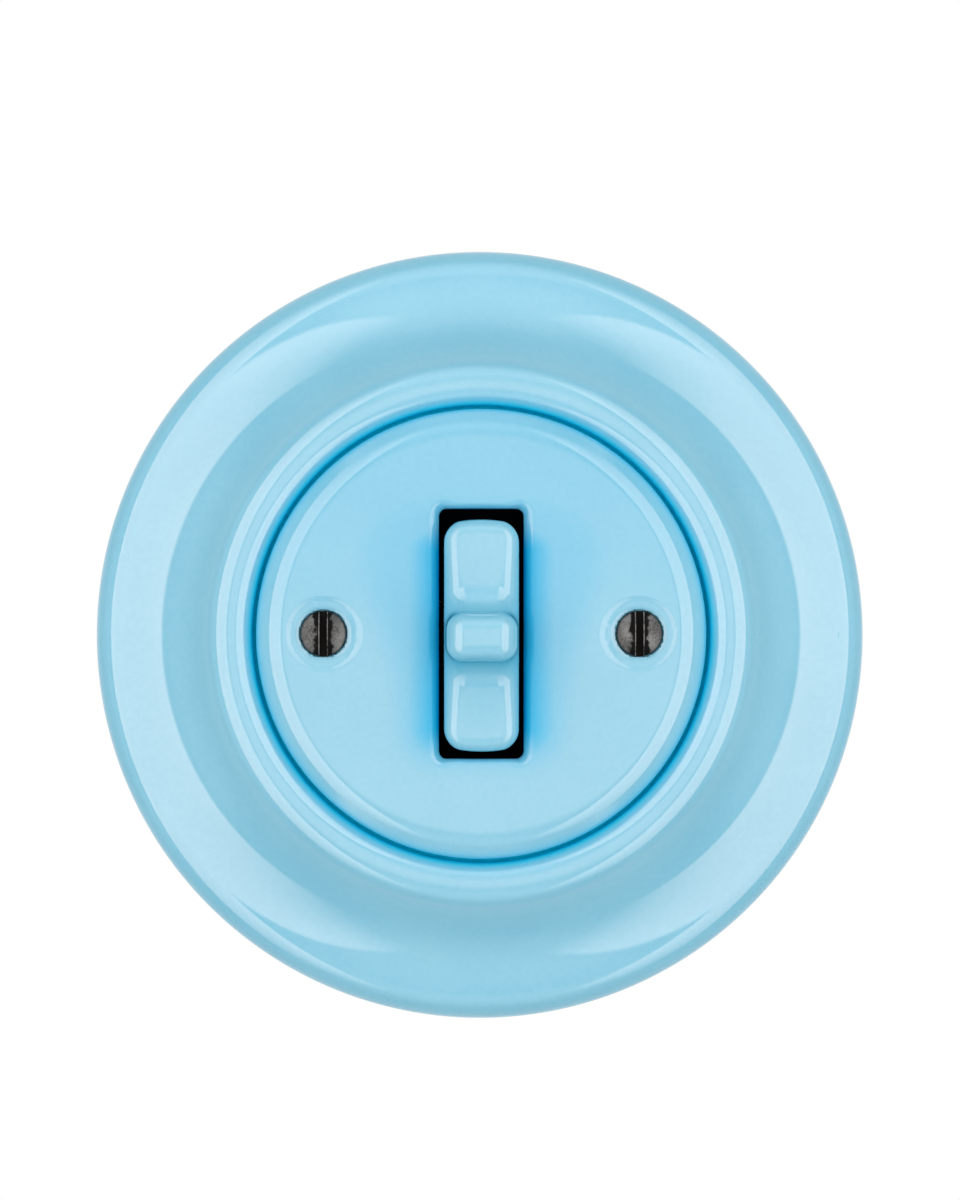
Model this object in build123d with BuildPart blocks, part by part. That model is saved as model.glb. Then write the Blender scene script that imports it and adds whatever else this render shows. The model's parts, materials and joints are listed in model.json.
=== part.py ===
from build123d import *
from math import cos, radians, sin, sqrt, tan
import os

# Porcelain toggle switch for a round flush wall box.
# Z is up, the front looks along -Y and the wall is the plane Y = 0.
# A "height" is a distance in front of the wall, so a negative one lies inside the wall box.
# Lengths are in millimetres and angles in degrees.

# Porcelain frame, an ogee ring that stands on the wall
frame_radius = 50.0
foot_height = 1.2
foot_width = 4.5
foot_hollow = 0.8
rim_radius = 4.4
cove_radius = 17.5
shoulder_radius = 3.5
lip_land = 0.1
lip_radius = 2.6
lip_height = 15.7
crown_depth = 7.5
neck_wall = 4.5
opening_radius = 29.1
ledge_width = 3.0
ledge_depth = 3.3
ledge_thickness = 6.0
porcelain_round = 0.6

# Cover disc, which clamps the frame to the wall
groove_gap = 0.6
disc_proud = 1.3
disc_bevel_width = 3.85
disc_bevel_angle = 36.0
disc_bevel_radius = 4.0
disc_corner_radius = 0.4
disc_thickness = 3.6
skirt_wall = 3.4
skirt_round = 0.3
slot_width = 10.75
slot_length = 31.7
slot_corner = 1.0
slot_rim_radius = 1.5
boss_radius = 4.6
boss_height = 1.6

# Cover screws, set in from the disc's edge, and the posts that take them
screw_inset = 8.5
thread_radius = 1.5
screw_head_radius = 2.9
screw_head_side = 0.9
screw_head_dome = 0.9
screw_slot_width = 1.15
screw_slot_depth = 1.5
screw_reach = 10.0
recess_depth = 0.95
recess_floor_radius = 3.45
recess_mouth_radius = 4.3
recess_rim_radius = 0.75
post_radius = 3.6
post_shank_radius = 2.0
post_bore_spare = 1.5

# Mounting plate
plate_radius = 36.0
plate_thickness = 1.2
box_screw_spacing = 60.0
box_screw_radius = 2.0
plate_slot_width = 3.4
plate_slot_arc = 24.0
window_corner = 1.0

# Rocker, drawn square to its own tilted plane
rest_tilt = 2.5
rocker_width = 9.45
rocker_length = 29.3
rocker_end_arch = 0.45
rocker_corner = 2.45
pad_rise = 2.5
pad_edge_radius = 2.35
nose_width = 8.9
nose_length = 6.3
nose_rise = 8.0
nose_corner = 2.7
nose_edge_radius = 2.5
nose_root = 2.5
ramp_width = 8.0
ramp_radius = 3.5
ramp_reach = 3.3
ramp_edge_radius = 2.0
pocket_wall = 2.2
pocket_end_wall = 6.0
pocket_roof = 2.4

# Pivot and the cradle that carries the rocker
pin_radius = 0.8
cheek_radius = 1.9
cheek_thickness = 2.5
cheek_foot = 8.0
cheek_headroom = 0.25
cradle_width = 8.0
cradle_hub_radius = 1.8
cradle_seat = 2.2
cradle_deck = 1.6
cradle_deck_length = 20.0
shield_width = 11.8
shield_start = 4.2
shield_reach = 17.6
shield_thickness = 1.0
shield_corner = 1.0
stem_radius = 2.6
stem_length = 13.0
plunger_radius = 1.5
plunger_bore_top = 3.0
plunger_grip = 3.6
spring_wire_radius = 0.22
spring_turns = 5

# Contacts
bridge_depth = 8.0
bridge_tilt = 7.0
bridge_front = 1.8
bridge_thickness = 1.2
bridge_width = 5.0
bridge_length = 20.6
hub_length = 4.2
hub_relief = 0.15
contact_reach = 8.5
bridge_tip_radius = 1.5
bridge_tip_side = 0.5
bridge_tip_dome = 4.0
contact_gap = 0.1
fixed_tip_radius = 1.7
fixed_tip_thickness = 0.8
strip_width = 5.0
strip_thickness = 1.0
strip_corner = 0.8
bracket_thickness = 1.2
bracket_width = 4.8
bracket_arm_height = 2.0

# Insulating base
base_width = 34.0
base_height = 44.0
base_depth = 20.0
base_corner = 2.0
flange_thickness = 4.0
corner_notch = 7.0
well_length = 24.0
rivet_radius = 1.3
rivet_head_radius = 2.4
rivet_head_height = 0.9
rivet_head_round = 0.6

# Terminal blocks and their clamp screws
block_width = 7.0
block_length = 6.0
upright_block_edge = 2.6
side_block_edge = 1.8
wire_radius = 1.6
wire_depth = 6.0
wire_wall = 0.9
clamp_head_radius = 2.4
clamp_head_height = 1.5
clamp_slot_width = 0.9
clamp_slot_depth = 0.7
clamp_tip_gap = 0.1

# Clearances
seat_clearance = 0.1
screw_clearance = 0.2
running_clearance = 0.03
pin_clearance = 0.01
thread_clearance = 0.03
hinge_clearance = 0.05
plunger_clearance = 0.06
plunger_gap = 0.08
cradle_side_gap = 0.15
shield_gap = 0.2
window_gap = 0.4
tenon_clearance = 0.06
tenon_headroom = 0.3

# Heights that follow from the sizes above
ledge_height = lip_height - ledge_depth
disc_face = lip_height + disc_proud
disc_back = disc_face - disc_thickness
disc_radius = opening_radius - groove_gap
screw_spacing = 2 * (disc_radius - screw_inset)
recess_floor = disc_face - recess_depth
post_top = disc_back - boss_height
pivot_height = disc_back - cheek_headroom - cheek_radius

# Distances out from the pivot, square to the rocker
shield_out = disc_back - pivot_height - shield_reach * sin(radians(rest_tilt)) - shield_gap
pad_out = disc_face + pad_rise - pivot_height
nose_out = disc_face + nose_rise - pivot_height
plunger_inner = stem_length - plunger_grip
plunger_bore_radius = plunger_radius + plunger_clearance
tip_centre = pivot_height + bridge_depth - bridge_front - plunger_gap - plunger_radius

# Contact positions that follow from the bridge's tilt
bridge_back = bridge_front - bridge_thickness
dome_edge = bridge_back - bridge_tip_side
dome_centre = dome_edge + sqrt(bridge_tip_dome**2 - bridge_tip_radius**2)
contact_z = contact_reach * cos(radians(bridge_tilt)) + dome_centre * sin(radians(bridge_tilt))
contact_y = contact_reach * sin(radians(bridge_tilt)) - dome_centre * cos(radians(bridge_tilt))
fixed_tip_face = -bridge_depth - contact_y - bridge_tip_dome - contact_gap
strip_front = fixed_tip_face - fixed_tip_thickness
well_floor = strip_front - strip_thickness
bead_radius = bracket_thickness / 2

# Side positions that follow from the cradle, the cheeks and the base
cheek_inner = cradle_width / 2 + cradle_side_gap
cheek_outer = cheek_inner + cheek_thickness
upright_block_end = base_height / 2 - upright_block_edge
side_block_end = base_width / 2 - side_block_edge
rivet_x = base_width / 2 - corner_notch / 2
rivet_z = base_height / 2 - corner_notch / 2
screw_places = [(-screw_spacing / 2, 0), (screw_spacing / 2, 0)]
post_shank_hole = post_shank_radius + pin_clearance
rivet_hole = rivet_radius + pin_clearance


def front_plane(height):
    """Plane parallel to the wall at a height, with X across, Z up and its normal to the front."""
    return Plane.XZ.offset(height)


def turning_plane(x, height):
    """Plane of a turned profile: across is the radius about x, up is the height above the given one."""
    return Plane(origin=(x, -height, 0), x_dir=(1, 0, 0), z_dir=(0, 0, -1))


def tilted_plane(height, tilt):
    """Front plane turned about X at a height, so that its upper half comes forward by the tilt."""
    out = (0, -cos(radians(tilt)), -sin(radians(tilt)))
    return Plane(origin=(0, -height, 0), x_dir=(1, 0, 0), z_dir=out)


def side_plane(plane):
    """Side view of a tilted plane: across runs up along it, up runs out of it."""
    return Plane(origin=plane.origin, x_dir=plane.y_dir, z_dir=plane.x_dir)


def touching_centre(first, first_radius, second, second_radius, radius):
    """Centre of the circle that touches two circles from outside, right of the line that joins them."""
    span = second - first
    reach = first_radius + radius
    along = (reach**2 - (second_radius + radius) ** 2 + span.length**2) / (2 * span.length)
    unit = span.normalized()
    return first + unit * along + Vector(unit.Y, -unit.X) * sqrt(reach**2 - along**2)


rocker_plane = tilted_plane(pivot_height, rest_tilt)
rocker_side = side_plane(rocker_plane)
out_of_rocker = Axis(rocker_plane.origin, rocker_plane.z_dir)
bridge_plane = tilted_plane(-bridge_depth, -bridge_tilt)
bridge_side = side_plane(bridge_plane)

# Porcelain frame: rim, cove and shoulder are arcs that run into each other, hollow behind
rim_centre = Vector(frame_radius - rim_radius, foot_height)
shoulder_centre = Vector(opening_radius + lip_radius + lip_land, lip_height - shoulder_radius)
cove_centre = touching_centre(rim_centre, rim_radius, shoulder_centre, shoulder_radius, cove_radius)
rim_to_cove = rim_centre + (cove_centre - rim_centre).normalized() * rim_radius
cove_to_shoulder = shoulder_centre + (cove_centre - shoulder_centre).normalized() * shoulder_radius

with BuildPart() as porcelain_frame:
    with BuildSketch(turning_plane(0, 0)):
        with BuildLine():
            side = Line((frame_radius, 0), (frame_radius, foot_height))
            rim = TangentArc(side @ 1, rim_to_cove, tangent=side % 1)
            cove = TangentArc(rim @ 1, cove_to_shoulder, tangent=rim % 1)
            shoulder = TangentArc(cove @ 1, (shoulder_centre.X, lip_height), tangent=cove % 1)
            land = Line(shoulder @ 1, (opening_radius + lip_radius, lip_height))
            lip = TangentArc(land @ 1, (opening_radius, lip_height - lip_radius), tangent=land % 1)
            FilletPolyline(
                lip @ 1,
                (opening_radius, ledge_height),
                (opening_radius - ledge_width, ledge_height),
                (opening_radius - ledge_width, ledge_height - ledge_thickness),
                (opening_radius + neck_wall, ledge_height - ledge_thickness),
                (opening_radius + neck_wall, lip_height - crown_depth),
                (frame_radius - foot_width, foot_hollow),
                (frame_radius - foot_width, 0),
                side @ 0,
                radius=porcelain_round,
            )
        make_face()
    revolve(axis=Axis.Y)

# Cover disc: a lid with a soft bevel and a low skirt, a slot for the rocker and two screw recesses
bevel_turn = radians(disc_bevel_angle)
bevel_start = Vector(disc_radius - disc_bevel_width, disc_face)
bevel_end = bevel_start + Vector(sin(bevel_turn), cos(bevel_turn) - 1) * disc_bevel_radius
bevel_drop = (disc_radius - bevel_end.X) * tan(bevel_turn)

with BuildPart() as cover_disc:
    with BuildSketch(turning_plane(0, 0)):
        with BuildLine():
            face = Line((0, disc_face), bevel_start)
            bevel = TangentArc(face @ 1, bevel_end, tangent=face % 1)
            FilletPolyline(
                bevel @ 1,
                (disc_radius, bevel_end.Y - bevel_drop),
                (disc_radius, ledge_height),
                (disc_radius - skirt_wall, ledge_height),
                (disc_radius - skirt_wall, disc_back),
                (0, disc_back),
                radius=[disc_corner_radius, porcelain_round, skirt_round, skirt_round],
            )
            Line((0, disc_back), face @ 0)
        make_face()
    revolve(axis=Axis.Y)
    with BuildSketch(front_plane(disc_back)):
        RectangleRounded(slot_width, slot_length, slot_corner)
    extrude(amount=disc_thickness, mode=Mode.SUBTRACT)
    slot_rim = cover_disc.faces().sort_by(Axis.Y)[0].inner_wires()[0]
    fillet(slot_rim.edges(), slot_rim_radius)
    with BuildSketch(front_plane(disc_back)):
        with Locations(*screw_places):
            Circle(boss_radius)
    extrude(amount=-boss_height)
    for x, z in screw_places:
        with BuildSketch(turning_plane(x, recess_floor)):
            with BuildLine():
                Polyline(
                    (0, 0), (recess_floor_radius, 0), (recess_mouth_radius, recess_depth),
                    (0, recess_depth), close=True,
                )
            make_face()
        revolve(axis=Axis((x, 0, z), (0, 1, 0)), mode=Mode.SUBTRACT)
        fillet(cover_disc.edges(Select.LAST).group_by(Axis.Y)[0], recess_rim_radius)
    with BuildSketch(front_plane(post_top)):
        with Locations(*screw_places):
            Circle(thread_radius + screw_clearance)
    extrude(amount=recess_floor - post_top, mode=Mode.SUBTRACT)

# Cover screws: slotted raised heads on plain shanks
with BuildPart() as cover_screws:
    for x, z in screw_places:
        with BuildSketch(turning_plane(x, recess_floor)):
            with BuildLine():
                head_top = screw_head_side + screw_head_dome
                dome = TangentArc((0, head_top), (screw_head_radius, screw_head_side), tangent=(1, 0))
                Polyline(
                    dome @ 1, (screw_head_radius, 0), (thread_radius, 0),
                    (thread_radius, -screw_reach), (0, -screw_reach), dome @ 0,
                )
            make_face()
        revolve(axis=Axis((x, 0, z), (0, 1, 0)))
    with BuildSketch(front_plane(recess_floor + head_top)):
        with Locations(*screw_places):
            Rectangle(screw_slot_width, 2 * (screw_head_radius + seat_clearance))
    extrude(amount=-screw_slot_depth, mode=Mode.SUBTRACT)


def support_post(x):
    """Turned brass post at x: a shank through the plate and a threaded bore for a cover screw."""
    bore_radius = thread_radius + thread_clearance
    bore_end = recess_floor - screw_reach - post_bore_spare
    with BuildPart() as post:
        with BuildSketch(turning_plane(x, 0)):
            with BuildLine():
                Polyline(
                    (0, 0), (post_shank_radius, 0), (post_shank_radius, plate_thickness),
                    (post_radius, plate_thickness), (post_radius, post_top), (bore_radius, post_top),
                    (bore_radius, bore_end), (0, bore_end), close=True,
                )
            make_face()
        revolve(axis=Axis((x, 0, 0), (0, 1, 0)))
    return post.part


# Mounting plate: a steel disc with box-screw holes, turning slots and a window for the pivot
with BuildPart() as mounting_plate:
    with BuildSketch(front_plane(0)):
        Circle(plate_radius)
        with Locations((-box_screw_spacing / 2, 0), (box_screw_spacing / 2, 0)):
            Circle(box_screw_radius, mode=Mode.SUBTRACT)
        with Locations(*screw_places):
            Circle(post_shank_hole, mode=Mode.SUBTRACT)
        with GridLocations(2 * rivet_x, 2 * rivet_z, 2, 2):
            Circle(rivet_hole, mode=Mode.SUBTRACT)
        for middle in (90, 270):
            SlotArc(
                CenterArc(
                    (0, 0), box_screw_spacing / 2, middle - plate_slot_arc / 2, plate_slot_arc,
                    mode=Mode.PRIVATE,
                ),
                plate_slot_width,
                mode=Mode.SUBTRACT,
            )
        RectangleRounded(
            2 * (cheek_outer + window_gap), cheek_foot + 2 * window_gap, window_corner,
            mode=Mode.SUBTRACT,
        )
    extrude(amount=plate_thickness)

# Rocker: rounded pads, a nose across the middle and hollow ramps between them
half_length = rocker_length / 2
ramp_foot = nose_length / 2 + ramp_reach
ramp_top = pad_out + ramp_radius
root_out = pad_out - nose_root
pocket_width = rocker_width - 2 * pocket_wall
pocket_length = rocker_length - 2 * pocket_end_wall
pocket_depth = pad_out - pocket_roof - cradle_seat

with BuildPart() as ramps:
    with BuildSketch(rocker_side):
        with BuildLine():
            Polyline(
                (0, root_out), (ramp_foot + ramp_radius, root_out),
                (ramp_foot + ramp_radius, pad_out), (ramp_foot, pad_out),
            )
            CenterArc((ramp_foot, ramp_top), ramp_radius, 270, -90)
            Line((ramp_foot - ramp_radius, ramp_top), (0, ramp_top))
            mirror(about=Plane.YZ)
        make_face()
    extrude(amount=ramp_width / 2, both=True)
    fillet(ramps.edges().filter_by(GeomType.CIRCLE), ramp_edge_radius)

with BuildPart() as rocker:
    with BuildSketch(rocker_plane.offset(cradle_seat)):
        with BuildLine():
            corner = Vector(rocker_width / 2, half_length - rocker_end_arch)
            Line((corner.X, 0), corner)
            ThreePointArc(corner, (0, half_length), (-corner.X, corner.Y))
            Line((-corner.X, corner.Y), (-corner.X, 0))
            mirror(about=Plane.XZ)
        outline = make_face()
        fillet(outline.vertices().group_by(Axis.Y)[0], rocker_corner)
        fillet(outline.vertices().group_by(Axis.Y)[-1], rocker_corner)
    extrude(amount=pad_out - cradle_seat)
    fillet(rocker.faces().sort_by(out_of_rocker)[-1].edges(), pad_edge_radius)
    add(ramps.part)
    with BuildSketch(rocker_plane.offset(root_out)):
        RectangleRounded(nose_width, nose_length, nose_corner)
    extrude(amount=nose_out - root_out)
    fillet(rocker.faces().sort_by(out_of_rocker)[-1].edges(), nose_edge_radius)
    with BuildSketch(rocker_plane.offset(cradle_seat)):
        Rectangle(pocket_width, pocket_length)
    extrude(amount=pocket_depth, mode=Mode.SUBTRACT)

# Rocker cradle: a deck with two dust shields under the rocker, a tenon in its pocket, a hub on the pin
# and a hollow stem
with BuildPart() as rocker_cradle:
    with BuildSketch(rocker_plane.offset(cradle_seat)):
        Rectangle(cradle_width, cradle_deck_length)
    extrude(amount=-cradle_deck)
    with BuildSketch(rocker_plane.offset(shield_out)):
        with GridLocations(0, shield_start + shield_reach, 1, 2):
            RectangleRounded(shield_width, shield_reach - shield_start, shield_corner)
    extrude(amount=-shield_thickness)
    with BuildSketch(rocker_plane.offset(cradle_seat)):
        Rectangle(pocket_width - 2 * tenon_clearance, pocket_length - 2 * tenon_clearance)
    extrude(amount=pocket_depth - tenon_headroom)
    with BuildSketch(rocker_side):
        Circle(cradle_hub_radius)
        with Locations((0, cradle_seat / 2)):
            Rectangle(2 * cradle_hub_radius, cradle_seat)
    extrude(amount=cradle_width / 2, both=True)
    with BuildSketch(rocker_plane.offset(-stem_length)):
        Circle(stem_radius)
    extrude(amount=stem_length)
    with BuildSketch(rocker_plane.offset(-stem_length)):
        Circle(plunger_bore_radius)
    extrude(amount=stem_length - plunger_bore_top, mode=Mode.SUBTRACT)
    with BuildSketch(rocker_side):
        Circle(pin_radius + running_clearance)
    extrude(amount=cradle_width / 2, both=True, mode=Mode.SUBTRACT)

# Pivot pin, held in the two cheeks of the base
with BuildPart() as pivot_pin:
    with BuildSketch(rocker_side):
        Circle(pin_radius)
    extrude(amount=cheek_outer, both=True)

# Plunger: a round-ended pin that slides in the stem and rides on the bridge
with BuildPart() as plunger:
    with BuildSketch(rocker_side):
        with BuildLine():
            shaft = Polyline(
                (0, -plunger_inner), (plunger_radius, -plunger_inner), (plunger_radius, -tip_centre)
            )
            TangentArc(shaft @ 1, (0, -tip_centre - plunger_radius), tangent=shaft % 1)
            Line((0, -tip_centre - plunger_radius), shaft @ 0)
        make_face()
    revolve(axis=out_of_rocker)

# Plunger spring: a wire helix between the end of the bore and the plunger
coil_radius = plunger_radius - spring_wire_radius
coil_top = plunger_bore_top + spring_wire_radius + hinge_clearance
coil_height = plunger_inner - spring_wire_radius - hinge_clearance - coil_top

with BuildPart() as plunger_spring:
    with BuildLine() as coil:
        Helix(
            coil_height / spring_turns, coil_height, coil_radius,
            center=rocker_plane.offset(-coil_top).origin, direction=-rocker_plane.z_dir,
        )
    with BuildSketch(Plane(origin=coil.line @ 0, z_dir=coil.line % 0)):
        Circle(spring_wire_radius)
    sweep(path=coil.line, is_frenet=True)

# Contact bridge: a brass seesaw with a half-round seat that rocks on the bracket's bead
with BuildPart() as contact_bridge:
    with BuildSketch(bridge_side):
        with BuildLine():
            Polyline(
                (0, bridge_front), (bridge_length / 2, bridge_front), (bridge_length / 2, bridge_back),
                (hub_length / 2, bridge_back), (hub_length / 2 - bridge_back + hub_relief, hub_relief),
                (0, hub_relief),
            )
            mirror(about=Plane.YZ)
        make_face()
        Circle(bead_radius + hinge_clearance, mode=Mode.SUBTRACT)
    extrude(amount=bridge_width / 2, both=True)


def bridge_tip(reach):
    """Domed silver contact on the back of the bridge, at a reach along it from the hinge."""
    with BuildPart() as tip:
        with BuildSketch(bridge_side):
            with BuildLine():
                side = Polyline(
                    (reach, bridge_back), (reach + bridge_tip_radius, bridge_back),
                    (reach + bridge_tip_radius, dome_edge),
                )
                top = (reach, dome_centre - bridge_tip_dome)
                TangentArc(top, side @ 1, tangent=(1, 0))
                Line(top, side @ 0)
            make_face()
        centre = bridge_plane.from_local_coords((0, reach, 0))
        revolve(axis=Axis(centre, bridge_plane.z_dir))
    return tip.part


# Common bracket: a brass blade whose round top carries the bridge, with an arm to its terminal
with BuildPart() as common_bracket:
    with BuildSketch(Plane.YZ):
        with BuildLine():
            blade = Polyline(
                (bridge_depth, bead_radius), (-well_floor, bead_radius),
                (-well_floor, -bead_radius), (bridge_depth, -bead_radius),
            )
            ThreePointArc(blade @ 1, (bridge_depth - bead_radius, 0), blade @ 0)
        make_face()
    extrude(amount=bracket_width / 2, both=True)
    with BuildSketch(front_plane(well_floor)):
        with Locations(((side_block_end - bracket_width / 2) / 2, 0)):
            Rectangle(side_block_end + bracket_width / 2, bracket_thickness)
    extrude(amount=bracket_arm_height)


def contact_strip(up):
    """Brass strip from a fixed contact to its terminal block, above (up = 1) or below (up = -1)."""
    inner = contact_z - strip_width / 2
    with BuildPart() as strip:
        with BuildSketch(front_plane(well_floor)):
            with Locations((0, up * (inner + upright_block_end) / 2)):
                RectangleRounded(strip_width, upright_block_end - inner, strip_corner)
        extrude(amount=strip_thickness)
    return strip.part


def fixed_tip(up):
    """Flat silver contact on a strip, where the bridge's tip meets it."""
    with BuildPart() as tip:
        with BuildSketch(front_plane(strip_front)):
            with Locations((0, up * contact_z)):
                Circle(fixed_tip_radius)
        extrude(amount=fixed_tip_thickness)
    return tip.part


def terminal_plane(direction, block_end):
    """Plane of a block's outer face, behind the well's floor, with its normal along the direction."""
    depth = (base_depth - well_floor) / 2
    middle = Vector(0, depth, 0) + Vector(*direction) * block_end
    return Plane(origin=middle, x_dir=(0, 1, 0), z_dir=direction)


upper_terminal = terminal_plane((0, 0, 1), upright_block_end)
lower_terminal = terminal_plane((0, 0, -1), upright_block_end)
common_terminal = terminal_plane((1, 0, 0), side_block_end)
block_height = base_depth + well_floor
wire_inset = block_length - wire_wall - wire_radius
clamp_offset = (block_height - wire_depth) / 2


def terminal_block(plane):
    """Brass block with a wire bore from behind and a threaded hole for its clamp screw."""
    with BuildPart() as block:
        with BuildSketch(plane):
            Rectangle(block_height, block_width)
        extrude(amount=-block_length)
        wire_mouth = plane.from_local_coords((block_height / 2, 0, -wire_inset))
        with BuildSketch(Plane(origin=wire_mouth, z_dir=(0, 1, 0))):
            Circle(wire_radius)
        extrude(amount=-wire_depth, mode=Mode.SUBTRACT)
        with BuildSketch(plane):
            with Locations((clamp_offset, 0)):
                Circle(thread_radius + thread_clearance)
        extrude(amount=-wire_inset, mode=Mode.SUBTRACT)
    return block.part


# Terminal screws: slotted cheese heads that clamp the wires
with BuildPart() as terminal_screws:
    for plane in (upper_terminal, lower_terminal, common_terminal):
        with BuildSketch(plane):
            with Locations((clamp_offset, 0)):
                Circle(clamp_head_radius)
        extrude(amount=clamp_head_height)
        with BuildSketch(plane):
            with Locations((clamp_offset, 0)):
                Circle(thread_radius)
        extrude(amount=wire_radius + clamp_tip_gap - wire_inset)
        with BuildSketch(plane.offset(clamp_head_height)):
            with Locations((clamp_offset, 0)):
                Rectangle(2 * (clamp_head_radius + seat_clearance), clamp_slot_width)
        extrude(amount=-clamp_slot_depth, mode=Mode.SUBTRACT)

# Plate rivets: round heads that hold the base behind the plate
with BuildPart() as plate_rivets:
    with BuildSketch(front_plane(-flange_thickness)):
        with GridLocations(2 * rivet_x, 2 * rivet_z, 2, 2):
            Circle(rivet_radius)
    extrude(amount=flange_thickness + plate_thickness)
    for height, rise in ((plate_thickness, rivet_head_height), (-flange_thickness, -rivet_head_height)):
        with BuildSketch(front_plane(height)):
            with GridLocations(2 * rivet_x, 2 * rivet_z, 2, 2):
                Circle(rivet_head_radius)
        extrude(amount=rise)
    fillet(plate_rivets.edges().group_by(Axis.Y)[0], rivet_head_round)
    fillet(plate_rivets.edges().group_by(Axis.Y)[-1], rivet_head_round)

# Switch base: a moulded block with a flange, a contact well, terminal pockets and two pivot cheeks
strip_channel = strip_width + 2 * seat_clearance
block_pocket = block_width + 2 * seat_clearance
upright_pocket_inner = upright_block_end - block_length - seat_clearance
side_pocket_inner = side_block_end - block_length - seat_clearance

with BuildPart() as switch_base:
    with BuildSketch(front_plane(0)):
        RectangleRounded(base_width, base_height, base_corner)
    extrude(amount=-flange_thickness)
    with BuildSketch(front_plane(-flange_thickness)):
        RectangleRounded(base_width - 2 * corner_notch, base_height, base_corner)
        RectangleRounded(base_width, base_height - 2 * corner_notch, base_corner)
    extrude(amount=flange_thickness - base_depth)
    with BuildSketch(Plane.YZ.offset(cheek_inner)):
        Polygon(
            (0, -cheek_foot / 2), (0, cheek_foot / 2),
            (-pivot_height, cheek_radius), (-pivot_height, -cheek_radius), align=None,
        )
        with Locations((-pivot_height, 0)):
            Circle(cheek_radius)
    extrude(amount=cheek_thickness)
    mirror(about=Plane.YZ)
    with BuildSketch(rocker_side):
        Circle(pin_radius + pin_clearance)
    extrude(amount=cheek_outer, both=True, mode=Mode.SUBTRACT)
    with BuildSketch(front_plane(0)):
        Rectangle(2 * cheek_inner, well_length)
        Rectangle(strip_channel, 2 * (upright_block_end + seat_clearance))
    extrude(amount=well_floor, mode=Mode.SUBTRACT)
    with BuildSketch(front_plane(-base_depth)):
        for up in (-1, 1):
            with Locations((0, up * (upright_pocket_inner + base_height / 2) / 2)):
                Rectangle(block_pocket, base_height / 2 - upright_pocket_inner)
        with Locations(((side_pocket_inner + base_width / 2) / 2, 0)):
            Rectangle(base_width / 2 - side_pocket_inner, block_pocket)
    extrude(amount=block_height, mode=Mode.SUBTRACT)
    with BuildSketch(front_plane(-base_depth)):
        with Locations(((side_block_end - bracket_width / 2) / 2, 0)):
            Rectangle(
                side_block_end + bracket_width / 2 + 2 * seat_clearance,
                bracket_thickness + 2 * seat_clearance,
            )
    extrude(amount=block_height + bracket_arm_height, mode=Mode.SUBTRACT)
    with BuildSketch(front_plane(0)):
        with GridLocations(2 * rivet_x, 2 * rivet_z, 2, 2):
            Circle(rivet_hole)
    extrude(amount=-flange_thickness, mode=Mode.SUBTRACT)

pieces = {
    "porcelain_frame": porcelain_frame.part,
    "cover_disc": cover_disc.part,
    "cover_screws": cover_screws.part,
    "left_support_post": support_post(-screw_spacing / 2),
    "right_support_post": support_post(screw_spacing / 2),
    "mounting_plate": mounting_plate.part,
    "rocker": rocker.part,
    "rocker_cradle": rocker_cradle.part,
    "pivot_pin": pivot_pin.part,
    "plunger": plunger.part,
    "plunger_spring": plunger_spring.part,
    "contact_bridge": contact_bridge.part,
    "upper_bridge_tip": bridge_tip(contact_reach),
    "lower_bridge_tip": bridge_tip(-contact_reach),
    "common_bracket": common_bracket.part,
    "upper_contact_strip": contact_strip(1),
    "lower_contact_strip": contact_strip(-1),
    "upper_fixed_tip": fixed_tip(1),
    "lower_fixed_tip": fixed_tip(-1),
    "upper_terminal_block": terminal_block(upper_terminal),
    "lower_terminal_block": terminal_block(lower_terminal),
    "common_terminal_block": terminal_block(common_terminal),
    "terminal_screws": terminal_screws.part,
    "plate_rivets": plate_rivets.part,
    "switch_base": switch_base.part,
}

os.makedirs("parts", exist_ok=True)
for name, piece in pieces.items():
    piece.label = name
    export_step(piece, f"parts/{name}.step")
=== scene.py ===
# %% [markdown]
# # A porcelain toggle switch, dressed for its portrait
#
# The solids of the switch come from a packed model, which stays where it is.
# This lesson gives the four pieces that show from the front a finer skin, gives every
# piece a finish made of shader nodes, and sets up a small white studio around it.

# %% Load the fixed frame
import json
from math import cos, radians, sin

import bmesh
import bpy
import numpy as np
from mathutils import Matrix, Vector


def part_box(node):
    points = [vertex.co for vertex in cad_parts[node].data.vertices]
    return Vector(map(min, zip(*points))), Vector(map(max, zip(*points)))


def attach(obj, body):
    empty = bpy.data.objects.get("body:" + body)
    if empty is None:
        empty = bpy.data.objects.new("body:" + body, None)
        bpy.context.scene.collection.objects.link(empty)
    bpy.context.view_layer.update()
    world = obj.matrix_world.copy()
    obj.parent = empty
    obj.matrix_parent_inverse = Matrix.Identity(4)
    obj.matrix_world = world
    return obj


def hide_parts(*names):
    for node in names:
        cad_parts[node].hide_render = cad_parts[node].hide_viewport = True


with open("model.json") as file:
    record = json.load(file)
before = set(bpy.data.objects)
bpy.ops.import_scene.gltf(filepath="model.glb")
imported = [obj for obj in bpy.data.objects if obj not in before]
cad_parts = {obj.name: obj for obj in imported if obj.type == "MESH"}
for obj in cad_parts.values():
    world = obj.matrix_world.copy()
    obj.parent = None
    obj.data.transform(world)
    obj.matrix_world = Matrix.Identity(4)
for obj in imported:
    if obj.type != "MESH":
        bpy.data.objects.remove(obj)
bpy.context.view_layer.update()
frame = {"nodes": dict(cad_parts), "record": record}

import openvdb
from mathutils import Vector

# %% [markdown]
# ## Where things are
#
# The wall is the plane Y = 0 and the switch looks along -Y, so a point on its front is easiest
# to think of as x across, z up and a height in front of the wall, all in millimetres.
# One helper turns that into Blender's metres. Another puts arrays of points and quads into a
# mesh with exact normals: a shiny glaze shows every fault in a normal, so each surface
# brings its own, worked out from its formula and not averaged from its faces.

# %% Places on the front
MM = 0.001


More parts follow.
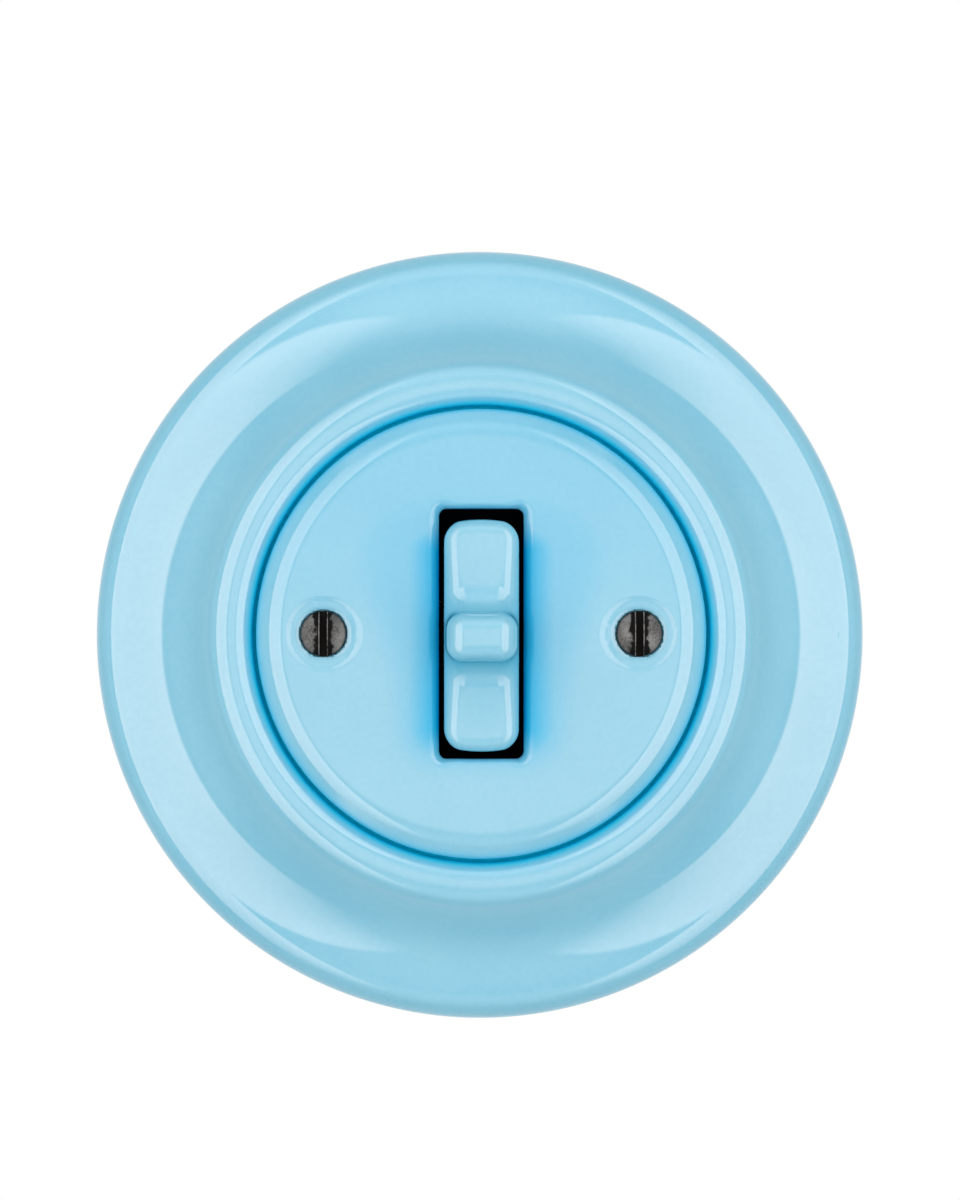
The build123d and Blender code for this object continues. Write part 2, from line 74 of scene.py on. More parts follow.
def from_front(x, z, height):
    """World point of a place on the front: x stays, height runs along -Y, z stays; mm to metres."""
    return np.stack([x, -height, z], axis=-1) * MM


print("1 mm in front of the wall, in metres:", from_front(0.0, 0.0, 1.0))

# %% Meshes from arrays
MERGE_DISTANCE = 1e-7
HARD_ANGLE = radians(32.0)


def link_piece(name, mesh):
    """Object of a finished mesh, put in the scene and counted."""
    piece = bpy.data.objects.new(name, mesh)
    bpy.context.scene.collection.objects.link(piece)
    mesh.calc_loop_triangles()
    print(f"{name}: {len(mesh.vertices)} points, {len(mesh.loop_triangles)} triangles")
    return piece


def add_piece(name, points, normals, quads):
    """Mesh object from arrays. If the quads disagree with the given normals, they are turned round."""
    corners = points[quads]
    facing = np.cross(corners[:, 2] - corners[:, 0], corners[:, 3] - corners[:, 1])
    if np.einsum("ij,ij->i", facing, normals[quads[:, 0]]).sum() < 0:
        quads = quads[:, ::-1]
    mesh = bpy.data.meshes.new(name)
    mesh.from_pydata(points.tolist(), [], quads.tolist())
    mesh.shade_smooth()
    mesh.normals_split_custom_set_from_vertices(normals.tolist())
    return link_piece(name, mesh)


def add_hard_piece(name, points, quads):
    """Mesh object from arrays with hard edges. Points that fall together are merged first."""
    mesh = bpy.data.meshes.new(name)
    mesh.from_pydata(points.tolist(), [], quads.tolist())
    work = bmesh.new()
    work.from_mesh(mesh)
    bmesh.ops.remove_doubles(work, verts=work.verts, dist=MERGE_DISTANCE)
    bmesh.ops.dissolve_degenerate(work, edges=work.edges, dist=MERGE_DISTANCE)
    bmesh.ops.recalc_face_normals(work, faces=work.faces)
    work.to_mesh(mesh)
    work.free()
    mesh.shade_smooth()
    mesh.set_sharp_from_angle(angle=HARD_ANGLE)
    return link_piece(name, mesh)


def grid_quads(rows, columns, wrap_rows=False, wrap_columns=False):
    """Corner numbers of the quads of a grid whose points are numbered row by row."""
    i, j = np.meshgrid(
        np.arange(rows if wrap_rows else rows - 1),
        np.arange(columns if wrap_columns else columns - 1), indexing="ij",
    )
    below, right = (i + 1) % rows, (j + 1) % columns
    corners = [i * columns + j, below * columns + j, below * columns + right, i * columns + right]
    return np.stack(corners, axis=-1).reshape(-1, 4)


print("the only quad of a grid of 2 by 2 points:", grid_quads(2, 2))

# %% [markdown]
# ## The porcelain frame
#
# The frame is thrown like a plate: one section, turned about the axis of the switch. Its front
# is an ogee, a round rim that flows into a hollow cove and out again over a shoulder, and its
# back is hollow. A Screw modifier could turn a drawn curve, but arcs worked out as arrays stay
# exactly tangent and give exact normals, so the section is written as arcs and rounded corners.

# %% Arcs and rounded corners of a section


def arc(centre, radius, start, stop, steps, side=1):
    """Points and normals along a circle from one angle to another, in degrees. Side -1 is a hollow."""
    turn = np.radians(np.linspace(start, stop, steps))
    unit = np.stack([np.cos(turn), np.sin(turn)], axis=-1)
    return np.asarray(centre) + radius * unit, side * unit


def rounded_corners(corners, radius, steps):
    """Points and normals of an open line with every inner corner rounded; outside is to its right.

    At each corner the two normals n and m are known. The rounding's centre lies radius * (n + m) /
    (1 + n.m) inside the corner, and its normals swing evenly from n to m.
    """
    corners = np.asarray(corners, dtype=float)
    along = np.diff(corners, axis=0)
    along /= np.linalg.norm(along, axis=1, keepdims=True)
    right = np.stack([along[:, 1], -along[:, 0]], axis=-1)
    before, after = right[:-1, None], right[1:, None]
    turn = np.sign(along[:-1, 0] * along[1:, 1] - along[:-1, 1] * along[1:, 0])[:, None, None]
    share = 1 + np.sum(before * after, axis=-1, keepdims=True)
    centre = corners[1:-1, None] - turn * radius * (before + after) / share
    swing = np.linspace(0, 1, steps)[None, :, None]
    angle = np.arccos(np.clip(share - 1, -1, 1))
    normal = (np.sin((1 - swing) * angle) * before + np.sin(swing * angle) * after) / np.sin(angle)
    return (centre + turn * radius * normal).reshape(-1, 2), normal.reshape(-1, 2)


def turned(name, section, normals, count):
    """Closed section of (radius, height) carried once round the axis of the switch."""
    angle = np.linspace(0, 2 * np.pi, count, endpoint=False)[None]
    radius, height = section[:, :1], section[:, 1:]
    points = from_front(radius * np.cos(angle), radius * np.sin(angle), height + 0 * angle)
    out, up = normals[:, :1], normals[:, 1:]
    facing = np.stack([out * np.cos(angle), -up + 0 * angle, out * np.sin(angle)], axis=-1)
    quads = grid_quads(len(section), count, wrap_rows=True, wrap_columns=True)
    return add_piece(name, points.reshape(-1, 3), facing.reshape(-1, 3), quads)


print("a quarter turn of radius 1 ends at", arc((0, 0), 1, 0, 90, 2)[0][-1].round(3))

# %% Sizes of the frame
FRAME_LOW, FRAME_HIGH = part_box("porcelain_frame")
RIM_R = FRAME_HIGH.x / MM
LIP_H = -FRAME_LOW.y / MM
FOOT_H, FOOT_W, FOOT_HOLLOW = 1.2, 4.5, 0.8
RIM_ROUND, COVE_R, SHOULDER_R = 4.4, 17.5, 3.5
LIP_LAND, LIP_R = 0.1, 2.6
OPENING_R, LEDGE_W, LEDGE_DEPTH, LEDGE_T = 29.1, 3.0, 3.3, 6.0
CROWN_DEPTH, NECK_WALL = 7.5, 4.5
SOFT_EDGE, FOOT_EDGE = 0.6, 0.25
ledge = LIP_H - LEDGE_DEPTH
print(f"frame: {RIM_R:.1f} mm to the rim, lip {LIP_H:.1f} mm and ledge {ledge:.1f} mm off the wall")

# %% Front of the section
ROUND_STEPS, COVE_STEPS, LIP_STEPS = 28, 56, 24
rim = np.array([RIM_R - RIM_ROUND, FOOT_H])
shoulder = np.array([OPENING_R + LIP_R + LIP_LAND, LIP_H - SHOULDER_R])
lip = np.array([OPENING_R + LIP_R, LIP_H - LIP_R])


def cove_centre():
    """Centre of the cove: the circle that touches the rim's and the shoulder's from outside."""
    span = shoulder - rim
    length = np.linalg.norm(span)
    unit = span / length
    reach = RIM_ROUND + COVE_R
    share = (reach**2 - (SHOULDER_R + COVE_R) ** 2 + length**2) / (2 * length)
    return rim + unit * share + np.array([unit[1], -unit[0]]) * np.sqrt(reach**2 - share**2)


cove = cove_centre()
rim_end = np.degrees(np.arctan2(*(cove - rim)[::-1]))
shoulder_start = np.degrees(np.arctan2(*(cove - shoulder)[::-1]))
front = [
    arc(rim, RIM_ROUND, 0, rim_end, ROUND_STEPS),
    arc(cove, COVE_R, rim_end + 180, shoulder_start + 180, COVE_STEPS, side=-1),
    arc(shoulder, SHOULDER_R, shoulder_start, 90, ROUND_STEPS),
    arc(lip, LIP_R, 90, 180, LIP_STEPS),
]
print(f"the rim meets the cove at {rim_end:.1f} degrees, the cove the shoulder at {shoulder_start:.1f}")

# %% Back of the section, and the turned frame
EDGE_STEPS, FOOT_STEPS, FRAME_TURNS = 7, 5, 400
underside = rounded_corners(
    [
        (OPENING_R, LIP_H - LIP_R), (OPENING_R, ledge), (OPENING_R - LEDGE_W, ledge),
        (OPENING_R - LEDGE_W, ledge - LEDGE_T), (OPENING_R + NECK_WALL, ledge - LEDGE_T),
        (OPENING_R + NECK_WALL, LIP_H - CROWN_DEPTH), (RIM_R - FOOT_W, FOOT_HOLLOW),
    ],
    SOFT_EDGE, EDGE_STEPS,
)
foot = rounded_corners(
    [
        (OPENING_R + NECK_WALL, LIP_H - CROWN_DEPTH), (RIM_R - FOOT_W, FOOT_HOLLOW),
        (RIM_R - FOOT_W, 0), (RIM_R, 0), (RIM_R, FOOT_H),
    ],
    FOOT_EDGE, FOOT_STEPS,
)
section, section_normals = (np.concatenate(part) for part in zip(*front, underside, foot))
glazed_frame = turned("glazed_frame", section, section_normals, FRAME_TURNS)

# %% [markdown]
# ## Shapes that melt into each other
#
# The cover has a slot and two screw recesses, which bite into its rounded edge, and the rocker
# has pads, ramps and a nose that run together under the glaze. No single grid follows such
# forms, and booleans leave hard seams. A distance field does it: a function that says
# how far a point is outside the shape. Cutting and joining are then a maximum and a minimum, and
# both can round the seam they make. The field is sampled on a box, its zero surface is taken as
# quads, and each point is then walked onto the true surface, where the field's slope is the normal.

# %% Fields and their surfaces
WALK_STEPS, MARGIN_STEPS = 5, 3
PROBE = 1e-4


def both(first, second, radius):
    """Field of what lies in both shapes, with the edge between them rounded."""
    over = np.hypot(np.maximum(first + radius, 0), np.maximum(second + radius, 0))
    return np.minimum(np.maximum(first, second), -radius) + over


def either(first, second, radius):
    """Field of what lies in one shape or the other, with the corner between them filled round."""
    return -both(-first, -second, radius)


def eased(inward, width):
    """Smooth step from 0 to 1 as a distance inward grows from nothing to a width."""
    share = np.clip(inward / width, 0, 1)
    return share * share * (3 - 2 * share)


def slope(field, points):
    """Slope of a field at points, from the difference of two close probes along each axis."""
    probes = PROBE * np.eye(3)
    return np.stack(
        [(field(*(points + p).T) - field(*(points - p).T)) / (2 * PROBE) for p in probes], axis=-1
    )


def field_surface(field, low, high, step):
    """Points, normals and quads of a field's zero surface inside a box, in the field's own axes."""
    axes = [np.arange(a, b + step, step) for a, b in zip(low, high)]
    block = openvdb.FloatGrid(step)
    block.copyFromArray(field(*np.meshgrid(*axes, indexing="ij")).astype(np.float32))
    points, quads = block.convertToQuads(0.0)
    points = points.astype(float) * step + np.asarray(low)
    for _ in range(WALK_STEPS):
        rise = slope(field, points)
        points -= rise * (field(*points.T) / np.sum(rise * rise, axis=1))[:, None]
    rise = slope(field, points)
    return points, rise / np.linalg.norm(rise, axis=1, keepdims=True), quads.astype(int)


print(f"rounded by 1, a square corner loses {both(0.0, 0.0, 1.0):.3f}")

# %% [markdown]
# ## The cover
#
# The cover is a shallow lid whose skirt stands on the frame's ledge. The face is flat, the edge
# is a bevel with a generous round, and glaze softens the slot's rim and the two dishes in which
# the screws sit. A lathe can't make the slot and a grid can't follow the dishes, so it is a field.

# %% Sizes of the cover
COVER_LOW, COVER_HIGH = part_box("cover_disc")
SCREW_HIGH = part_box("cover_screws")[1]
FACE_H = -COVER_LOW.y / MM
GLAZE_T = 0.1
COVER_R = COVER_HIGH.x / MM + GLAZE_T
BEVEL_W, BEVEL_R, COVER_CORNER = 3.85, 4.0, 0.38
BEVEL_TURN = radians(36)
COVER_T, SKIRT_W = 3.6, 3.4
SLOT_W, SLOT_L, SLOT_CORNER, SLOT_RIM, END_RIM = 10.75, 31.7, 1.0, 1.5, 0.8
HEAD_R = 2.9
SCREW_X = SCREW_HIGH.x / MM - HEAD_R
RECESS_DEPTH, RECESS_R, RECESS_BOWL = 0.95, 4.18, 24.0
MOUTH_W, MOUTH_EASE, MOUTH_DROP = 0.65, 0.6, 0.25
STEP_R, STEP_W, STEP_DROP, SEAT_GAP = 3.5, 0.45, 0.07, 0.14
HOLE_R, BOSS_R, BOSS_H = 1.7, 4.6, 1.6
SMALL_EDGE = 0.3
cover_back = FACE_H - COVER_T
recess_floor = FACE_H - RECESS_DEPTH
print(f"cover: radius {COVER_R:.2f} mm, face {FACE_H:.2f} mm off the wall, screws at x = {SCREW_X:.1f} mm")

# %% Field of the cover


def recess_dip(x, z):
    """How far the face is lowered around a screw; the other recess is its mirror image.

    A smooth step at the mouth, wider towards the cover's middle, a shallow bowl with a smaller step
    in it, and the seat under the screw's head.
    """
    aside = SCREW_X - np.abs(x)
    from_screw = np.hypot(aside, z)
    lean = aside / np.maximum(from_screw, HOLE_R)
    mouth = MOUTH_W * (1 + MOUTH_EASE * np.maximum(lean, 0) ** 2)
    dip = MOUTH_DROP * eased(RECESS_R + mouth - from_screw, mouth)
    dip += STEP_DROP * eased(STEP_R - from_screw, STEP_W)
    dip += np.maximum(RECESS_R**2 - from_screw**2, 0) / (2 * RECESS_BOWL)
    return dip + (RECESS_DEPTH - dip) * eased(HEAD_R + SEAT_GAP - from_screw, SEAT_GAP)


def cover_field(x, z, height):
    """Lid with a bevel, less the slot, the two recesses and the hollow behind, plus bosses.

    Face, bevel and the arc between them are one formula: the distance along a direction that turns
    with the point about the arc's centre, but no further than from the face's normal to the bevel's.
    The slot's rim is rounder along its sides than across its ends.
    """
    out = np.hypot(x, z)
    from_screw = np.hypot(SCREW_X - np.abs(x), z)
    slot = both(np.abs(x) - SLOT_W / 2, np.abs(z) - SLOT_L / 2, SLOT_CORNER)
    slot_rim = SLOT_RIM + (END_RIM - SLOT_RIM) * eased(SLOT_W / 2 - np.abs(x), SLOT_W / 4)
    boss = both(from_screw - BOSS_R, cover_back - BOSS_H - height, SMALL_EDGE)
    hollow = both(out - COVER_R + SKIRT_W, height - cover_back, SMALL_EDGE)
    outward, above = out - COVER_R + BEVEL_W, height + recess_dip(x, z) - FACE_H + BEVEL_R
    turn = np.clip(np.arctan2(outward, above), 0, BEVEL_TURN)
    lid = both(out - COVER_R, outward * np.sin(turn) + above * np.cos(turn) - BEVEL_R, COVER_CORNER)
    lid = both(lid, -slot, slot_rim)
    lid = both(lid, HOLE_R - from_screw, SMALL_EDGE)
    lid = both(lid, -both(hollow, -boss, SMALL_EDGE), SOFT_EDGE)
    return both(lid, ledge - height, SOFT_EDGE)


print(f"the middle of the slot is {cover_field(0.0, 0.0, FACE_H - COVER_T / 2):.3f} mm outside the cover")

# %% Surface of the cover
COVER_STEP = 0.28
margin = MARGIN_STEPS * COVER_STEP
reach = COVER_R + margin
points, normals, quads = field_surface(
    cover_field, (-reach, -reach, ledge - margin), (reach, reach, FACE_H + margin), COVER_STEP
)
glazed_cover = add_piece(
    "glazed_cover", from_front(*points.T), from_front(*normals.T) / MM, quads
)

# %% [markdown]
# ## The rocker
#
# The rocker is drawn square to its own plane, which leans with the switch: x across, s up along
# the rocker and w out from the pivot pin. Two pillow-shaped pads carry a blunt nose across the
# middle, and a hollow ramp runs up to the nose from each pad. Subdivision would round all of it
# alike, but here each edge has its own radius, so the rocker is a field too.

# %% Sizes of the rocker
PIVOT = Vector(frame["record"]["behaviour"]["joints"][0]["pos_m"]) / MM
REST_TILT = radians(2.5)
ROCKER_W, ROCKER_L, END_ARCH, ROCKER_CORNER = 9.45, 29.3, 0.65, 2.1
SEAT_W, PAD_RISE, PAD_EDGE = 2.2, 2.5, 1.9
SWELL, SWELL_END = 0.9, 13.5
NOSE_W, NOSE_L, NOSE_RISE, NOSE_CORNER, NOSE_EDGE = 8.9, 6.3, 8.0, 2.2, 2.5
RAMP_W, RAMP_R, RAMP_REACH, RAMP_EDGE = 8.0, 3.5, 3.3, 2.0
RAMP_BLEND, NOSE_BLEND = 0.9, 0.12
POCKET_WALL, POCKET_END, POCKET_ROOF = 2.2, 6.0, 2.4
pad_out = FACE_H + PAD_RISE + PIVOT.y
nose_out = FACE_H + NOSE_RISE + PIVOT.y
ramp_foot = NOSE_L / 2 + RAMP_REACH
arch_r = ((ROCKER_W / 2) ** 2 + END_ARCH**2) / (2 * END_ARCH)
print(f"rocker: pads {pad_out:.2f} mm and nose {nose_out:.2f} mm out from the pin")

# %% Field of the rocker


def rocker_body(x, s, w):
    """Field of the pads with their ramps, for a place in the first quarter.

    The pads' ends are shallow arcs, and each pad swells a little along its middle towards the nose.
    A ramp is what lies below a hollow arc that starts level with the pad and ends upright. The soft
    corner between pad and ramp grows from nothing at the ramp's foot.
    """
    end = np.hypot(x, s + arch_r - ROCKER_L / 2) - arch_r
    swell = SWELL * eased(SWELL_END - s, SWELL_END - NOSE_L / 2)
    rise = w - pad_out - swell * (1 - (2 * x / ROCKER_W) ** 2)
    pads = both(both(x - ROCKER_W / 2, end, ROCKER_CORNER), rise, PAD_EDGE)
    pads = both(pads, SEAT_W - w, SMALL_EDGE)
    hollow = RAMP_R - np.hypot(s - ramp_foot, rise - RAMP_R)
    below = np.maximum(np.maximum(hollow, s - ramp_foot), rise - RAMP_R)
    ramps = np.maximum(both(x - RAMP_W / 2, below, RAMP_EDGE), -2 * PAD_EDGE - rise)
    return either(pads, ramps, RAMP_BLEND * np.clip((ramp_foot - s) / RAMP_REACH, 0, 1))


def rocker_nose(x, s, w):
    """Field of the nose, for a place in the first quarter: a block with round corners and a round top."""
    nose = both(both(x - NOSE_W / 2, s - NOSE_L / 2, NOSE_CORNER), w - nose_out, NOSE_EDGE)
    return np.maximum(nose, pad_out - 2 * PAD_EDGE - w)


def rocker_field(x, s, w):
    """Body and nose joined in a tight corner, less the pocket that takes the cradle's tenon."""
    place = np.abs(x), np.abs(s), w
    whole = either(rocker_body(*place), rocker_nose(*place), NOSE_BLEND)
    pocket = np.maximum(place[0] - ROCKER_W / 2 + POCKET_WALL, place[1] - ROCKER_L / 2 + POCKET_END)
    return both(whole, -both(pocket, w - pad_out + POCKET_ROOF, SMALL_EDGE), SMALL_EDGE)


print(f"the top of the nose is {rocker_field(0.0, 0.0, nose_out):.2f} mm off the rocker's surface")

# %% Surface of the rocker
ROCKER_STEP = 0.125


def from_rocker(x, s, w):
    """World direction or offset of rocker axes: s leans forward at the top, w is square to it."""
    lean, stand = sin(REST_TILT), cos(REST_TILT)
    return np.stack([x, -lean * s - stand * w, stand * s - lean * w], axis=-1)


margin = MARGIN_STEPS * ROCKER_STEP
points, normals, quads = field_surface(
    rocker_field,
    (-ROCKER_W / 2 - margin, -ROCKER_L / 2 - margin, SEAT_W - margin),
    (ROCKER_W / 2 + margin, ROCKER_L / 2 + margin, nose_out + margin),
    ROCKER_STEP,
)
glazed_rocker = add_piece(
    "glazed_rocker", (from_rocker(*points.T) + np.array(PIVOT)) * MM, from_rocker(*normals.T), quads
)

# %% [markdown]
# ## Where shade is painted on the rocker
#
# Shade is painted where it falls on the rocker: in the crease under the nose and over the hollow
# ramps, more on the lower ramp than on the upper one, as light falls more from above. Painting
# weights by hand would do, but the fields already know how far each point is from body and nose,
# so two numbers for each point are worked out from them and kept with the mesh, for the finish to read.

# %% Crease and hollows
CREASE_REACH, HOLLOW_REACH = 0.36, 1.9
HOLLOW_SHADE_SHARE = {"lower": 0.55, "upper": 0.2}


def keep(piece, name, values):
    """Keep one number for each point of a piece, under a name."""
    kept = piece.data.attributes.new(name, "FLOAT", "POINT")
    kept.data.foreach_set("value", values.astype(np.float32))
    print(f"{piece.name} keeps {name}: {values.min():.2f} to {values.max():.2f}")


quarter = np.abs(points[:, 0]), np.abs(points[:, 1]), points[:, 2]
off_body = np.maximum(rocker_body(*quarter), 0)
off_nose = np.maximum(rocker_nose(*quarter), 0)
# Painted shade in the hollows, more on the lower ramp, which faces down, than on the upper one.
ramp_shade = np.where(points[:, 1] < 0, HOLLOW_SHADE_SHARE["lower"], HOLLOW_SHADE_SHARE["upper"])
# Painted shade in the crease round the nose.
keep(glazed_rocker, "crease", np.exp(-(off_body + off_nose) / CREASE_REACH))
keep(glazed_rocker, "hollow", ramp_shade * np.exp(-off_nose / HOLLOW_REACH - off_body / CREASE_REACH))

# %% [markdown]
# ## The cover screws
#
# Each screw has a low domed head with a straight slot. A boolean could cut the slot, but one grid
# does it with clean edges: a line across the head, with a step down into the slot and up again, is
# carried along the slot, and each place on it runs as far as the head's round edge lets it. Then
# the grid folds over the edge and down the side.

# %% Heads of the screws
HEAD_SIDE, HEAD_DOME = 0.9, 0.9
SCREW_SLOT_W, SCREW_SLOT_D, SLOT_BEVEL, HEAD_BEVEL = 0.95, 1.5, 0.10, 0.16
LAND_STEPS, RUN_STEPS = 26, 49
dome_r = (HEAD_R**2 + HEAD_DOME**2) / (2 * HEAD_DOME)
head_top = HEAD_SIDE + HEAD_DOME


def head_height(x, z):
    """Height of the dome over its seat: a ball's cap, eased off over the last of the edge."""
    out = np.hypot(x, z)
    cap = head_top - dome_r + np.sqrt(dome_r**2 - np.minimum(out, HEAD_R) ** 2)
    ease = np.clip(1 - (HEAD_R - out) / HEAD_BEVEL, 0, 1)
    return cap - HEAD_BEVEL * (1 - np.sqrt(1 - ease**2))


def screw_head():
    """Grid of the head in (x, z, height over the seat): rows run along the slot, columns across it."""
    half = SCREW_SLOT_W / 2
    land = np.sin(np.linspace(np.arcsin((half + SLOT_BEVEL) / HEAD_R), np.pi / 2, LAND_STEPS)) * HEAD_R
    across = np.concatenate([-land[::-1], [-half, -half, half, half], land])
    drop = np.concatenate([0 * land, [SLOT_BEVEL, np.inf, np.inf, SLOT_BEVEL], 0 * land])
    run = np.sin(np.linspace(-np.pi / 2, np.pi / 2, RUN_STEPS))
    along = run[:, None] * np.sqrt(np.maximum(HEAD_R**2 - across**2, 0))
    height = np.maximum(head_height(across, along) - drop, head_top - SCREW_SLOT_D)
    seat = np.zeros((1, len(across)))
    x = np.repeat(across[None], len(run) + 2, axis=0)
    z = np.concatenate([along[:1], along, along[-1:]])
    return np.stack([x, z, np.concatenate([seat, height, seat])], axis=-1)


print("rows, columns and axes of a head's grid:", screw_head().shape)

# %% Shanks, and the two whole screws
SHANK_R, SHANK_L, THREAD_PITCH, THREAD_DEPTH, THREAD_RINGS = 1.5, 10.0, 0.5, 0.28, 8


def screw_shank(rim):
    """Grid below the head: rings shrink from the rim to the shank and run down it as a thread.

    The thread's depth is a triangle wave of height over pitch plus the share of a turn.
    """
    turn = np.arctan2(rim[:, 1], rim[:, 0])[None]
    down = np.linspace(0, SHANK_L, int(SHANK_L / THREAD_PITCH) * THREAD_RINGS)[:, None]
    wave = np.abs((down / THREAD_PITCH + turn / (2 * np.pi)) % 1 - 0.5) * 2
    ends = np.clip(np.minimum(down, SHANK_L - down) / THREAD_PITCH, 0, 1)
    radius = SHANK_R - THREAD_DEPTH * wave * ends
    radius = np.concatenate([HEAD_R + 0 * turn, radius, 0 * turn])
    height = np.concatenate([down[:1], -down, -down[-1:]]) + 0 * turn
    return np.stack([radius * np.cos(turn), radius * np.sin(turn), height], axis=-1)


def screw_arrays(middle):
    """Points and quads of one whole screw at x = middle."""
    head = screw_head()
    shank = screw_shank(np.concatenate([head[0], head[-1, ::-1]]))
    points = np.concatenate([head.reshape(-1, 3), shank.reshape(-1, 3)])
    quads = np.concatenate([
        grid_quads(*head.shape[:2]),
        grid_quads(*shank.shape[:2], wrap_columns=True) + head[..., 0].size,
    ])
    x, z, height = points.T
    return from_front(x + middle, z, height + recess_floor), quads


(left, left_quads), (right, right_quads) = (screw_arrays(x) for x in (-SCREW_X, SCREW_X))
slotted_screws = add_hard_piece(
    "slotted_screws", np.concatenate([left, right]),
    np.concatenate([left_quads, right_quads + len(left)]),
)

# %% [markdown]
# ## Shader arithmetic
#
# Node trees are easier to read as formulas. One small class wraps a socket: Python's operators on
# it add Math nodes, and its `node` method adds any other node by type, with settings first and
# then socket values or links. Colours go through ramps and Mix nodes, because a Math node would
# turn them grey.

# %% A socket that does arithmetic
# Sockets of a Mix node that is set to colours.
MIX_SHARE, MIX_FIRST, MIX_SECOND, MIX_COLOUR = 0, 6, 7, 2


class Flow:
    """A shader socket on which Python's operators work."""

    def __init__(self, tree, socket=None):
        self.tree, self.socket = tree, socket

    def node(self, kind, settings=None, inputs=None, out=0):
        """Add a node: first its settings, with a ramp's stops as (place, colour) pairs, then inputs."""
        made = self.tree.nodes.new(kind)
        for key, value in (settings or {}).items():
            if key == "stops":
                made.color_ramp.interpolation = "EASE"
                for stop, (place, colour) in zip(made.color_ramp.elements, value):
                    stop.position, stop.color = place, (*colour, 1.0)
            else:
                setattr(made, key, value)
        for key, value in (inputs or {}).items():
            if isinstance(value, Flow):
                self.tree.links.new(value.socket, made.inputs[key])
            else:
                made.inputs[key].default_value = value
        return Flow(self.tree, made.outputs[out])

    def maths(self, operation, other, first=None):
        """This value and another through a Math node; a given first value goes before the other."""
        ends = {0: self if first is None else first, 1: other}
        return self.node("ShaderNodeMath", {"operation": operation}, ends)

    def __add__(self, other):
        return self.maths("ADD", other)

    __radd__ = __add__

    def __sub__(self, other):
        return self.maths("SUBTRACT", other)

    def __rsub__(self, other):
        return self.maths("SUBTRACT", self, other)

    def __mul__(self, other):
        return self.maths("MULTIPLY", other)

    __rmul__ = __mul__

    def __truediv__(self, other):
        return self.maths("DIVIDE", other)

    def __rtruediv__(self, other):
        return self.maths("DIVIDE", self, other)

    def __pow__(self, other):
        return self.maths("POWER", other)

    def __abs__(self):
        return self.maths("ABSOLUTE", 0.0)

    def __neg__(self):
        return self.maths("MULTIPLY", -1.0)

    def at_least(self, other):
        """The larger of this value and another."""
        return self.maths("MAXIMUM", other)

    def at_most(self, other):
        """The smaller of this value and another."""
        return self.maths("MINIMUM", other)

    def step(self, low, high):
        """Smooth step of this value: 0 at low, 1 at high."""
        inputs = {"Value": self, "From Min": low, "From Max": high}
        return self.node("ShaderNodeMapRange", {"interpolation_type": "SMOOTHSTEP"}, inputs)

    def ramp(self, *stops):
        """Colour that goes smoothly from the first of two (value, colour) stops to the second."""
        return self.node("ShaderNodeValToRGB", {"stops": stops}, {"Fac": self})

    def blend(self, first, second):
        """Colour between two, with this value as the share of the second."""
        first, second = ((*c, 1.0) if isinstance(c, tuple) else c for c in (first, second))
        inputs = {MIX_SHARE: self, MIX_FIRST: first, MIX_SECOND: second}
        return self.node("ShaderNodeMix", {"data_type": "RGBA"}, inputs, out=MIX_COLOUR)

    def noise(self, scale, detail=2.0, roughness=0.5):
        """Cloudy noise over this place, with so many clouds to the metre."""
        inputs = {"Vector": self, "Scale": scale, "Detail": detail, "Roughness": roughness}
        return self.node("ShaderNodeTexNoise", None, inputs)

    def streaks(self, scale, detail, roughness=0.5):
        """Noise with its own number of clouds to the metre along each axis."""
        place = self.node("ShaderNodeMapping", {"vector_type": "POINT"}, {"Vector": self, "Scale": scale})
        return place.noise(1.0, detail, roughness)

    def parts(self):
        """The x, y and z of this vector."""
        split = self.node("ShaderNodeSeparateXYZ", None, {0: self})
        return [Flow(self.tree, out) for out in split.socket.node.outputs]

    def millimetres(self):
        """The x, y and z of this place, in millimetres."""
        return [part / MM for part in self.parts()]

    def kept(self, name):
        """The number that the piece's mesh keeps under a name."""
        return self.node("ShaderNodeAttribute", {"attribute_name": name}, out="Fac")

    def bump(self, depth, under=None):
        """Normal of a surface raised by this value times a depth in metres, on top of another."""
        inputs = {"Height": self, "Distance": depth, "Strength": 1.0}
        if under is not None:
            inputs["Normal"] = under
        return self.node("ShaderNodeBump", None, inputs)


def hypotenuse(first, second):
    """Root of the sum of two values' squares."""
    return (first * first + second * second) ** 0.5


print("a Flow can also", [name for name in vars(Flow) if not name.startswith("_")])

# %% [markdown]
# ## From formulas to materials
#
# A finish starts as a new material with Blender's Principled shader, and every pattern in it reads
# Object coordinates, so that it stays on its piece when the piece moves. A second shader can be
# laid over the first with a Mix Shader, whose factor is the share of it at each place.

# %% Materials and their layers


def finish_of(name):
    """A new material: its surface shader and the place of each point on the object."""
    material = bpy.data.materials.new(name)
    material.use_nodes = True
    tree = material.node_tree
    shader = tree.nodes["Principled BSDF"]
    place = Flow(tree).node("ShaderNodeTexCoord", out="Object")
    print("finish:", name)
    return material, shader, place


def feed(shader, **sockets):
    """Set or link the shader's sockets, named with underscores for spaces."""
    for name, value in sockets.items():
        socket = shader.inputs[name.replace("_", " ")]
        if isinstance(value, Flow):
            value.tree.links.new(value.socket, socket)
        else:
            socket.default_value = value


def layer(material, shader, share, **sockets):
    """Lay a second surface shader over the first, with a share of it at each place."""
    tree = material.node_tree
    over = tree.nodes.new("ShaderNodeBsdfPrincipled")
    feed(over, **sockets)
    ends = {0: share, 1: Flow(tree, shader.outputs[0]), 2: Flow(tree, over.outputs[0])}
    mixed = share.node("ShaderNodeMixShader", None, ends)
    tree.links.new(mixed.socket, tree.nodes["Material Output"].inputs["Surface"])


print("plain materials that came with the solids:", len(bpy.data.materials))
